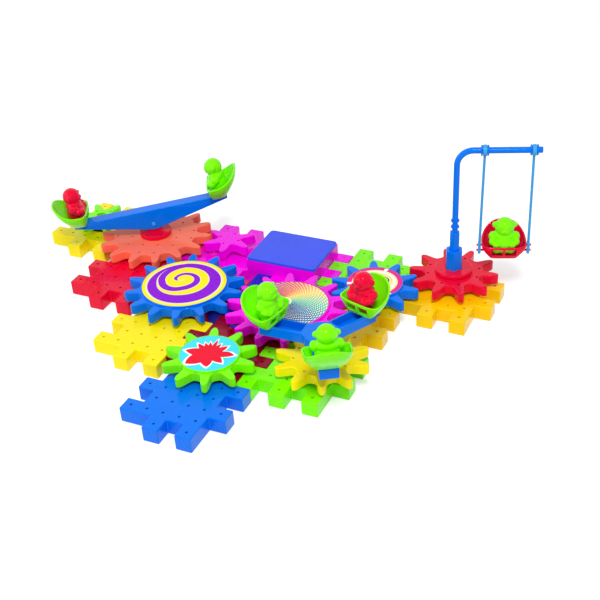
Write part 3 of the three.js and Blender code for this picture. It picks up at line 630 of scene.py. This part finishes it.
# edges of the purple arm, clockwise from straight up, as shares of the way from its pole to the rim
arm_turns = [
    ([(0, 0), (0.66, 0.08), (1, 0.26)], [(0, 0), (0.66, 0.08), (0.8, 0.26), (1, 0.39)]),
    ([(0, 0.26), (0.25, 0.3), (0.5, 0.35), (0.75, 0.46), (1, 0.72)],
     [(0, 0.39), (0.25, 0.45), (0.5, 0.5), (0.75, 0.66), (1, 0.96)]),
    ([(0, 0.72), (0.2, 0.68), (0.5, 0.67), (0.75, 0.71), (1, 0.93)],
     [(0, 0.96), (0.25, 0.96), (0.5, 0.965), (0.75, 0.96), (1, 0.94)]),
]


def draw_spiral(tree, x, y):
    """A purple arm that widens as it winds out over yellow, with cream outlines."""
    rim = 33.2
    out = radius_of(x, y) / rim
    pull = (out * -1.0 + 1.0).work("MAXIMUM", 0.0)
    sx, sy = x - pull * -2.5, y - pull * 7.5
    share = radius_of(sx, sy) / rim
    clockwise = (turn_of(sx, sy) * -1.0 + 1.25).work("FRACT")
    colour = sun
    for width, tone in ((0.022, cream), (0.0, purple)):
        for inner, outer in arm_turns:
            above = share.over(number(tree, clockwise, inner) - width)
            below = share.under(number(tree, clockwise, outer) + width)
            colour = blend(tree, above * below, colour, tone)
    ring_line = (out - 1.0).work("ABSOLUTE").under(0.014)
    colour = blend(tree, out.over(0.985), colour, sun)
    return blend(tree, ring_line, colour, cream)


# the star's tips and notches round the disc, as shares of a turn and of the radius
spikes = [
    (0, 0.76), (0.025, 0.46), (0.083, 0.74), (0.117, 0.44), (0.147, 0.66), (0.172, 0.46),
    (0.197, 0.82), (0.222, 0.44), (0.25, 0.66), (0.27, 0.46), (0.292, 0.66), (0.319, 0.46),
    (0.347, 0.74), (0.389, 0.48), (0.456, 0.885), (0.514, 0.58), (0.597, 0.97), (0.681, 0.59),
    (0.744, 0.8), (0.8, 0.47), (0.856, 0.78), (0.911, 0.49), (0.967, 0.92), (1, 0.72),
]


def draw_burst(tree, x, y):
    """A spiky red star with a white edge on cyan."""
    r = radius_of(x, y) / 23.2
    star = number(tree, turn_of(x, y), spikes) * 0.97
    colour = blend(tree, r.under(star * 1.12 + 0.015), cyan, white)
    return blend(tree, r.under(star), colour, scarlet)


def draw_rosette(tree, x, y):
    """Rainbow guilloche: two crossing families of swirls, dotted where they cross."""
    out = radius_of(x, y)
    sx, sy = x + 3.0, y - 4.0
    r = radius_of(sx, sy)
    turn = turn_of(sx, sy)
    swirl = (r / 6.0).work("LOGARITHM", 2.0)
    hue = (turn + swirl * 0.03 + 0.86).work("FRACT")
    rainbow = ramp(tree, hue.source, [
        (0.0, paint(248, 214, 60)), (0.09, paint(236, 100, 40)), (0.17, paint(206, 24, 60)),
        (0.26, paint(160, 10, 120)), (0.4, paint(92, 8, 124)), (0.56, paint(34, 8, 104)),
        (0.68, paint(6, 12, 96)), (0.8, paint(10, 110, 160)), (0.9, paint(110, 206, 160)),
        (1.0, paint(248, 214, 60)),
    ])
    first = ((turn + swirl * 0.3) * (40 * 2 * math.pi)).work("SINE")
    second = ((turn - swirl * 0.16) * (40 * 2 * math.pi)).work("SINE")
    weave = first + second
    dots = weave.over(r * 0.03 - 1.55) * r.over(6.8) * out.under(34.2)
    colour = blend(tree, dots, white, rainbow)
    return blend(tree, out.over(34.3), colour, paint(196, 0, 112))


def draw_rings(tree, x, y):
    """A divided pink ring round a pale yellow one, with thin off-centre loops."""
    out = radius_of(x, y)
    turn = turn_of(x, y)
    divider = ((turn * 3.0).work("FRACT") - 0.5).work("ABSOLUTE").under(0.035)
    colour = blend(tree, out.over(15.6) * out.under(17.6), paint(250, 238, 170), white)
    colour = blend(tree, out.under(9.8), colour, white)
    loops = [
        (2.6, 1.8, 9.4, 0.55, ink), (3.2, 1.0, 7.2, 0.5, scarlet), (2.0, 2.2, 12.4, 0.4, straw),
    ]
    for dx, dy, radius, stroke, tone in loops:
        loop = radius_of(x - dx, (y - dy) * 1.25)
        colour = blend(tree, (loop - radius).work("ABSOLUTE").under(stroke), colour, tone)
    colour = blend(tree, out.over(19.4), colour, pink)
    return blend(tree, divider * out.over(19.0), colour, white)


prints = {"spiral": draw_spiral, "rosette": draw_rosette, "rings": draw_rings, "burst": draw_burst}
for name, draw in prints.items():
    edge = ring(gears[name]["disc"] - disc_rim - 0.05, 128)
    card = slab(f"{name}_print", edge, disc_high - disc_recess + 0.01, disc_high - 0.1)
    settle(card, gear_place(name))
    even_shading(card)
    card.data.materials.append(print_material(f"{name}_print_card", name, draw))
    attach(card, f"gear_{name}")


# ---------------------------------------------------------------- seats and figures
floor_front, floor_half, floor_back = 6.5, 11.5, 6.8
front, half_width, rim_back = 9.5, 18.7, 20.5
bar_height, side_height, back_height, wall, floor = 11.4, 12.6, 24.0, 1.7, 2.0
window_length, window_width, window_low, window_high, window_post = 8.4, 9.4, 2.8, 9.4, 1.7
setback, pin_forward = 1.0, 0.8
clip_thick, clip_height, clip_pins = 2.4, 10, (2.5, 7.5)


def signed_power(value, power):
    return math.copysign(abs(value) ** power, value)


def seat_point(share, s, inset):
    """A point of the bucket: s runs up from its floor to its rim, x points to its back."""
    c, w = math.cos(2 * math.pi * share), math.sin(2 * math.pi * share)
    swell = math.sin(s * math.pi / 2)
    square = abs(c) ** 0.35
    low_x = floor_back * c**0.8 if c > 0 else -floor_front * square
    high_x = rim_back * c**0.8 if c > 0 else -front * square
    low_y, high_y = floor_half * signed_power(w, 0.35), half_width * signed_power(w, 0.8)
    if c > 0:
        top = side_height + (back_height - side_height) * c * ((1 + c) / 2) ** 1.3
    else:
        top = side_height - (side_height - bar_height) * (1 - abs(w)) ** 0.35
    x, y = low_x + (high_x - low_x) * swell, low_y + (high_y - low_y) * swell
    inward = 1 - inset / math.hypot(x, y)
    low = floor if inset > wall / 2 else 0.0
    return x * inward, y * inward, low + (top - low) * s


def model_seat():
    """The bucket's outer skin, its rounded rim and its inner skin in one grid."""
    rows = 9
    levels = [(k / rows, 0.0, 0.0) for k in range(rows)]
    levels += [(1.0, 0.0, -0.5), (1.0, 0.25 * wall, -0.12), (1.0, 0.5 * wall, 0.0)]
    levels += [(1.0, 0.75 * wall, -0.12), (1.0, wall, -0.5)]
    levels += [(k / rows, wall, 0.0) for k in reversed(range(rows))]

    def point(share, row):
        s, inset, dip = levels[row]
        x, y, z = seat_point(share, s, inset)
        return x, y, z + dip

    seat = wrapped("seat_model", 96, len(levels), point)
    for side in (-1, 1):
        opening = oblong(window_length, window_width, -8, side * (window_width + window_post) / 2)
        carve(seat, slab("window", softened(opening, 0.6, 2), window_low, window_high))
    return seat


def model_figure():
    """A plain sitting figure of overlapping balls, melted together and trimmed flat below."""
    balls = [
        ((-0.2, 0, 11.6), (8.7, 9.6, 10.2)), ((-0.3, 0, 26.7), (7.9, 8.0, 7.9)),
        ((-4.9, 0, 24.8), (3.8, 4.6, 3.5)), ((-8.6, 0, 25.7), (0.8, 1.2, 0.8)),
        ((0.2, 0, 18.8), (7.4, 9.4, 5.6)),
    ]
    for side in (-1, 1):
        balls += [
            ((0.4, side * 7.7, 28.2), (1.8, 2.8, 2.8)), ((-7.0, side * 2.8, 29.2), (1.2, 1.2, 1.4)),
            ((-0.6, side * 9.4, 17.6), (4.2, 3.5, 4.2)), ((-4.2, side * 9.4, 14.4), (4.0, 3.3, 3.3)),
            ((-6.8, side * 6.4, 13.2), (3.0, 3.6, 3.0)), ((-2.4, side * 5.6, 6.2), (4.6, 3.8, 3.6)),
            ((-4.0, side * 6.0, 6.6), (2.7, 3.4, 3.7)),
        ]
    lumps = []
    bpy.ops.object.select_all(action="DESELECT")
    for place, half in balls:
        bpy.ops.mesh.primitive_uv_sphere_add(
            segments=24, ring_count=16, radius=1, location=[c * mm for c in place]
        )
        bpy.context.object.scale = [c * mm for c in half]
        lumps.append(bpy.context.object)
    only(*lumps)
    bpy.ops.object.join()
    figure = bpy.context.object
    bpy.ops.object.transform_apply(location=True, rotation=True, scale=True)
    melt = figure.modifiers.new("melt", "REMESH")
    melt.mode = "VOXEL"
    melt.voxel_size = 0.42 * mm
    bpy.ops.object.modifier_apply(modifier=melt.name)
    soften = figure.modifiers.new("soften", "SMOOTH")
    soften.factor = 0.5
    soften.iterations = 5
    bpy.ops.object.modifier_apply(modifier=soften.name)
    in_edit(figure)
    bpy.ops.mesh.bisect(
        plane_co=(0, 0, (floor + gap) * mm), plane_no=(0, 0, 1), clear_inner=True, use_fill=True
    )
    bpy.ops.mesh.select_all(action="SELECT")
    bpy.ops.mesh.normals_make_consistent(inside=False)
    out_of_edit()
    return figure


seat_model, figure_model = model_seat(), model_figure()
heading, tilt = math.radians(28), math.radians(8.1)
orange_x, orange_y = lattice(*gears["orange"]["at"])
pivot_rise = 12.9
beam_place = (
    Matrix.Translation((orange_x * mm, orange_y * mm, (base + pivot_rise) * mm))
    @ Matrix.Rotation(heading, 4, "Z")
    @ Matrix.Rotation(-tilt, 4, "Y")
)
carousel_x, carousel_y = lattice(*gears["carousel"]["at"])
carousel_turn, seat_reach = 61, 42.2
carousel_spot = Matrix.Translation((carousel_x * mm, carousel_y * mm, 0))
carousel_place = carousel_spot @ Matrix.Rotation(math.radians(carousel_turn), 4, "Z")
swing_x, swing_y = lattice(*gears["swing"]["at"])
swing_turn = 19.2
swing_spot = Matrix.Translation((swing_x * mm, swing_y * mm, base * mm))
post_place = swing_spot @ Matrix.Rotation(math.radians(swing_turn), 4, "Z")
half_beam, beam_rise = 72.2, 14.0

# where each seat stands, on the seesaw's ends, the carousel's arms and the swing
places = {}
for name, side in (("seesaw_low", -1), ("seesaw_high", 1)):
    spot = Matrix.Translation((side * (half_beam - floor_back) * mm, 0, (beam_rise + gap) * mm))
    places[name] = beam_place @ spot @ Matrix.Rotation(math.pi if side < 0 else 0, 4, "Z")
for k, (name, turn) in enumerate((("right", 12), ("left", -12), ("front", 0))):
    way = Matrix.Rotation(2 * math.pi * k / 3, 4, "Z")
    spot = Matrix.Translation((seat_reach * mm, 0, (arm_top + gap) * mm))
    seat_turn = Matrix.Rotation(math.radians(turn), 4, "Z")
    places[f"carousel_{name}"] = carousel_place @ way @ spot @ seat_turn
arm_height, hanger_first, hanger_pitch, seat_drop = 111.5, 21.7, 38.6, 96.3
seat_middle = hanger_first + hanger_pitch / 2
seat_floor_z = arm_height - seat_drop
swing_seat_spot = Matrix.Translation((seat_middle * mm, pin_forward * mm, seat_floor_z * mm))
places["swing"] = post_place @ swing_seat_spot @ Matrix.Rotation(math.pi / 2, 4, "Z")
for name, place in places.items():
    seat = again(seat_model, f"{name}_seat")
    if name == "swing":
        for pin_height in clip_pins:
            height = side_height - clip_height + pin_height
            swell = math.sin(height / side_height * math.pi / 2)
            start = floor_half + (half_width - floor_half) * swell - wall / 2
            end = half_width + gap + clip_thick + 1.2
            for side in (-1, 1):
                spot = (-pin_forward, side * (end + start) / 2, height)
                pin = bar("pin", "Y", 0.95, end - start, spot, 16)
                fuse(seat, round_edges(pin, 0.3, steps=2))
    settle(seat, place)
    finish(seat, f"seat_{name}", 40)
    figure_place = place @ Matrix.Translation((setback * mm, 0, 0))
    figure = again(figure_model, f"{name}_figure", figure_place)
    finish(figure, f"figure_{name}", 60)
drop(seat_model, figure_model)


# ---------------------------------------------------------------- seesaw
ear_length, ear_height = 12, 21
hub = slab("seesaw_foot", ring(14.8, 96), base, base + 4)
round_edges(hub, 0.7)
ear = slab("ear", softened(oblong(ear_length, ear_height, 0, ear_height / 2), 1.2), -3.9, 3.9)
settle(ear, Matrix.Rotation(math.pi / 2, 4, "X"))
carve(ear, bar("pin_hole", "Y", 2.3, 20, (0, 0, pivot_rise), 32))
settle(ear, Matrix.Translation((0, 0, base * mm)) @ Matrix.Rotation(heading, 4, "Z"))
fuse(hub, ear, pegs_below(base, gears["orange"]["turn"]))
settle(hub, Matrix.Translation((orange_x * mm, orange_y * mm, 0)))
finish(hub, "seesaw_hub")

# the beam's underside runs from its ends to a round lobe about the pin
lobe = 6.0
low = beam_rise - 3.6
lean = math.acos(lobe / math.hypot(half_beam, low)) - math.atan2(low, half_beam)
profile = [(half_beam, low), (half_beam, beam_rise), (-half_beam, beam_rise), (-half_beam, low)]
for k in range(17):
    a = math.pi + lean + (math.pi - 2 * lean) * k / 16
    profile.append((lobe * math.cos(a), lobe * math.sin(a)))
beam = slab("beam", profile, -6, 6)
round_edges(beam, 0.8)
settle(beam, Matrix.Rotation(math.pi / 2, 4, "X"))
carve(beam, slab("trough", oblong(2 * (half_beam - 12), 8.4), -10, beam_rise - 1.8))
carve(beam, bar("pin_hole", "Y", 2.25, 20, (0, 0, 0), 32))
settle(beam, beam_place)
finish(beam, "seesaw_beam")
pin = bar("pivot_pin", "Y", 2.0, 13.6, (0, 0, 0), 40)
round_edges(pin, 0.6)
settle(pin, beam_place)
finish(pin, "seesaw_pivot_pin")


# ---------------------------------------------------------------- carousel
arm_length, arm_half, hub_radius, arm_depth, arm_wall = 49.0, 7.6, 14.0, 9.0, 2
outline = []
for k in range(3):
    way = Matrix.Rotation(2 * math.pi * k / 3, 2)
    root = math.asin(arm_half / hub_radius)
    arc = [root + (2 * math.pi / 3 - 2 * root) * s / 16 for s in range(17)]
    corners = [(arm_length, -arm_half), (arm_length, arm_half)]
    corners += [(hub_radius * math.cos(a), hub_radius * math.sin(a)) for a in arc]
    outline += [tuple(way @ Vector(point)) for point in corners]
spinner = slab("spinner", outline, arm_top - arm_depth, arm_top)
round_edges(spinner, 0.7, sharp=30)
for k in range(3):
    bay_end = arm_length - arm_wall
    bay = oblong(bay_end - hub_radius, 2 * (arm_half - arm_wall), (hub_radius + bay_end) / 2)
    trough = slab("trough", softened(bay, 1.5), arm_top - arm_depth + arm_wall, arm_top + 1)
    round_edges(trough, 0.6, lambda middle, edge: middle.z < arm_top)
    carve(spinner, settle(trough, Matrix.Rotation(2 * math.pi * k / 3, 4, "Z")))
stem = slab("stem", ring(8, 64), base, arm_top - arm_wall)
foot = slab("foot", ring(12.6, 96), base, base + 3)
round_edges(foot, 0.6)
fuse(spinner, stem, foot, pegs_below(base, gears["carousel"]["turn"] - carousel_turn))
settle(spinner, carousel_place)
finish(spinner, "carousel_spinner")


# ---------------------------------------------------------------- swing
def hexagon(flats):
    return ring(flats / math.sqrt(3), 6)


socket_flats, socket_floor, socket_top = 13.2, 9, 21.0
spigot_flats, spigot = 7.8, 16.8
neck, bend, reach, tube_radius = 11.5, 12.7, 67.0, 2.55
hub = slab("ring_hub", ring(16, 96), 0, 3.6)
round_edges(hub, 0.9)
fuse(hub, pegs_below(0, gears["swing"]["turn"] - swing_turn))
carve(hub, slab("hex_hole", hexagon(socket_flats + 2 * gap), -1, 5))
settle(hub, post_place)
finish(hub, "swing_ring_hub")

socket = slab("socket", softened(hexagon(socket_flats), 0.8, 2), 0, socket_top)
round_edges(socket, 0.6, sharp=60)
carve(socket, slab("hex_hole", hexagon(spigot_flats + 2 * gap), socket_floor, socket_top + 1))
settle(socket, post_place)
finish(socket, "swing_socket")

upright = socket_top + spigot + neck
path = [(0, 0, upright), (0, 0, arm_height - bend)]
path += [
    (bend * (1 - math.cos(a)), 0, arm_height - bend * (1 - math.sin(a)))
    for a in [math.pi / 2 * k / 12 for k in range(1, 13)]
]
path += [(reach, 0, arm_height)]
post = tube("post_arm", path, tube_radius, 32)
round_edges(post, 0.5, steps=2)
outline = softened(hexagon(spigot_flats), 0.6, 2)
stalk = slab("spigot", outline, socket_floor + gap, socket_top + spigot)
round_edges(stalk, 0.5, sharp=60)
waist = slab("waist", ring(2.3, 32), socket_top + spigot - 1, upright + 1)
fuse(post, stalk, waist)
for k in (1, 2):
    z = socket_top + spigot + neck * k / 2
    fuse(post, round_edges(slab("neck_ring", ring(3.6, 48), z - 1.6, z), 0.4, steps=2))
hanger_spots = (hanger_first, hanger_first + hanger_pitch)
for x in hanger_spots:
    for side in (-1, 1):
        collar = bar("collar", "X", 4.4, 1.2, (x + side * 2.6, 0, arm_height), 40)
        fuse(post, round_edges(collar, 0.3, steps=2))
settle(post, post_place)
finish(post, "swing_post_arm")

for k, (x, name) in enumerate(zip(hanger_spots, ("inner", "outer"))):
    out = 1 if k else -1
    foot_x = seat_middle + out * (half_width + gap + clip_thick / 2)
    top, bottom = (x, 0, arm_height - 3.8), (foot_x, 0, seat_floor_z + side_height - 1.5)
    hanger = tube(f"{name}_hanger", [bottom, top], 1.1, 20)
    eye = bar("eye", "X", 4.6, 3.4, (x, 0, arm_height), 40)
    fuse(hanger, round_edges(eye, 0.4, steps=2))
    clip = slab("clip", softened(oblong(clip_thick, 5.0, foot_x), 0.5, 2), 0, clip_height)
    round_edges(clip, 0.5, sharp=60)
    clip_low = seat_floor_z + side_height - clip_height
    settle(clip, Matrix.Translation((0, 0, clip_low * mm)))
    fuse(hanger, clip)
    carve(hanger, bar("arm_hole", "X", 2.8, 10, (x, 0, arm_height), 40))
    for height in clip_pins:
        carve(hanger, bar("pin_hole", "X", 1.25, 10, (foot_x, 0, clip_low + height), 20))
    settle(hanger, post_place)
    finish(hanger, f"swing_hanger_{name}")


# ---------------------------------------------------------------- motor unit
box_length, box_width, lid_low, lid_high = 66.5, 52.5, 24.7, 27.0
low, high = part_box("motor_lid")
lid_middle = (low + high) / 2 / mm
outline = oblong(box_length, box_width, lid_middle.x, lid_middle.y)
lid = slab("lid", softened(outline, 4, 6), lid_low, lid_high)
round_edges(lid, 0.9, lambda middle, edge: middle.z > lid_high - 1)
finish(lid, "motor_lid")


def clean_copy(node, name):
    """The CAD node's solid with its triangles merged into whole faces."""
    piece = bpy.data.objects.new(name, frame["nodes"][node].data.copy())
    bpy.context.scene.collection.objects.link(piece)
    in_edit(piece)
    bpy.ops.mesh.remove_doubles(threshold=mm / 200)
    bpy.ops.mesh.dissolve_limited(angle_limit=math.radians(1))
    out_of_edit()
    return piece


housing = clean_copy("motor_housing", "housing")
box_low, box_high = low / mm, high / mm


def under_small_gear(x, y):
    return math.dist((x, y), lattice(*gears["small_magenta"]["at"])) <= 6


def housing_edge(middle, edge):
    """The deck's rim and the box's upright corners and top, not its holes or inner ledges."""
    if not edge.is_convex:
        return False
    rise = abs(edge.verts[0].co.z - edge.verts[1].co.z) / mm
    on_box = (
        min(abs(middle.x - box_low.x), abs(middle.x - box_high.x)) < 0.2
        or min(abs(middle.y - box_low.y), abs(middle.y - box_high.y)) < 0.2
    )
    # upright edges: the box's corners, and those that run the deck's full height
    if rise > plate_top - 4:
        return on_box or rise > plate_top - 0.5
    return abs(middle.z - plate_top) < 0.1 and not under_small_gear(middle.x, middle.y)


round_edges(housing, 0.8, housing_edge)
holes = []
for u in (-5, 0):
    for i, j in plate_cells:
        x, y = lattice(u + i, 15 + j)
        outside = x < box_low.x or x > box_high.x or y < box_low.y or y > box_high.y
        if outside and not under_small_gear(x, y):
            holes.append((x, y))
carve(housing, drills(holes, hole_radius, plate_top - 1.2, plate_top + 1))
finish(housing, "motor_housing")
knob = clean_copy("power_switch", "switch_knob")
round_edges(knob, 0.35, steps=2)
finish(knob, "power_switch")
carried = ["motor_bottom_cover", "motor", "worm", "worm_wheel_pinion", "output_gear_shaft"]
for node in carried + ["battery_1", "battery_2"]:
    for slot in frame["nodes"][node].material_slots:
        slot.material = finishes[slot_of[node]]


# ---------------------------------------------------------------- stage, light and camera
def looked_at(tree):
    """1 for what the camera sees, straight or in gloss and glass, and 0 for the light itself."""
    path = tree.nodes.new("ShaderNodeLightPath")
    seen = Reading(tree, path.outputs["Is Camera Ray"])
    for way in ("Is Glossy Ray", "Is Transmission Ray"):
        seen = seen.work("MAXIMUM", Reading(tree, path.outputs[way]))
    return seen


def pale_floor():
    """A white sweep that keeps the toy's shadow and shows white where it is lit."""
    bpy.ops.object.select_all(action="DESELECT")
    bpy.ops.mesh.primitive_plane_add(size=8, location=(0, 0, -0.0002))
    sweep = bpy.context.object
    sweep.name = "floor"
    material, tree, shader = new_material("white_sweep")
    shader.inputs["Base Color"].default_value = (0.8, 0.8, 0.8, 1)
    shader.inputs["Roughness"].default_value = 0.9
    shader.inputs["Specular IOR Level"].default_value = 0.1
    glow = tree.nodes.new("ShaderNodeEmission")
    both = tree.nodes.new("ShaderNodeAddShader")
    seen = looked_at(tree) * 0.42
    tree.links.new(seen.source, glow.inputs["Strength"])
    tree.links.new(shader.outputs[0], both.inputs[0])
    tree.links.new(glow.outputs[0], both.inputs[1])
    tree.links.new(both.outputs[0], tree.nodes["Material Output"].inputs["Surface"])
    sweep.data.materials.append(material)


def soft_world():
    world = bpy.data.worlds.new("studio")
    bpy.context.scene.world = world
    world.use_nodes = True
    tree = world.node_tree
    background = tree.nodes["Background"]
    background.inputs["Color"].default_value = (1, 1, 1, 1)
    strength = looked_at(tree) * 0.5 + 0.5
    tree.links.new(strength.source, background.inputs["Strength"])


def soft_lamp(name, place, aim, size, power):
    lamp = bpy.data.lights.new(name, "AREA")
    lamp.shape = "DISK"
    lamp.size = size
    lamp.energy = power
    holder = bpy.data.objects.new(name, lamp)
    bpy.context.scene.collection.objects.link(holder)
    holder.location = place
    holder.rotation_euler = (Vector(aim) - Vector(place)).to_track_quat("-Z", "Y").to_euler()


def photo_camera():
    camera = bpy.data.cameras.new("camera")
    holder = bpy.data.objects.new("camera", camera)
    bpy.context.scene.collection.objects.link(holder)
    right = Vector((0.908182, 0.414819, -0.055957))
    up = Vector((-0.204389, 0.556145, 0.805561))
    turned = Matrix((right, up, right.cross(up))).transposed()
    holder.matrix_world = Matrix.Translation((0.39782, -0.64923, 0.51633)) @ turned.to_4x4()
    camera.lens = 64.725
    camera.sensor_width = 36
    camera.shift_y = 0.1
    camera.clip_start, camera.clip_end = 0.01, 20
    bpy.context.scene.camera = holder


pale_floor()
soft_world()
soft_lamp("key", (0.45, -0.7, 1.3), (0, 0, 0), 0.45, 13.5)
soft_lamp("fill", (-1.1, -0.7, 0.9), (0, 0, 0.03), 1.0, 6)
photo_camera()
bpy.context.scene.view_settings.view_transform = "Standard"
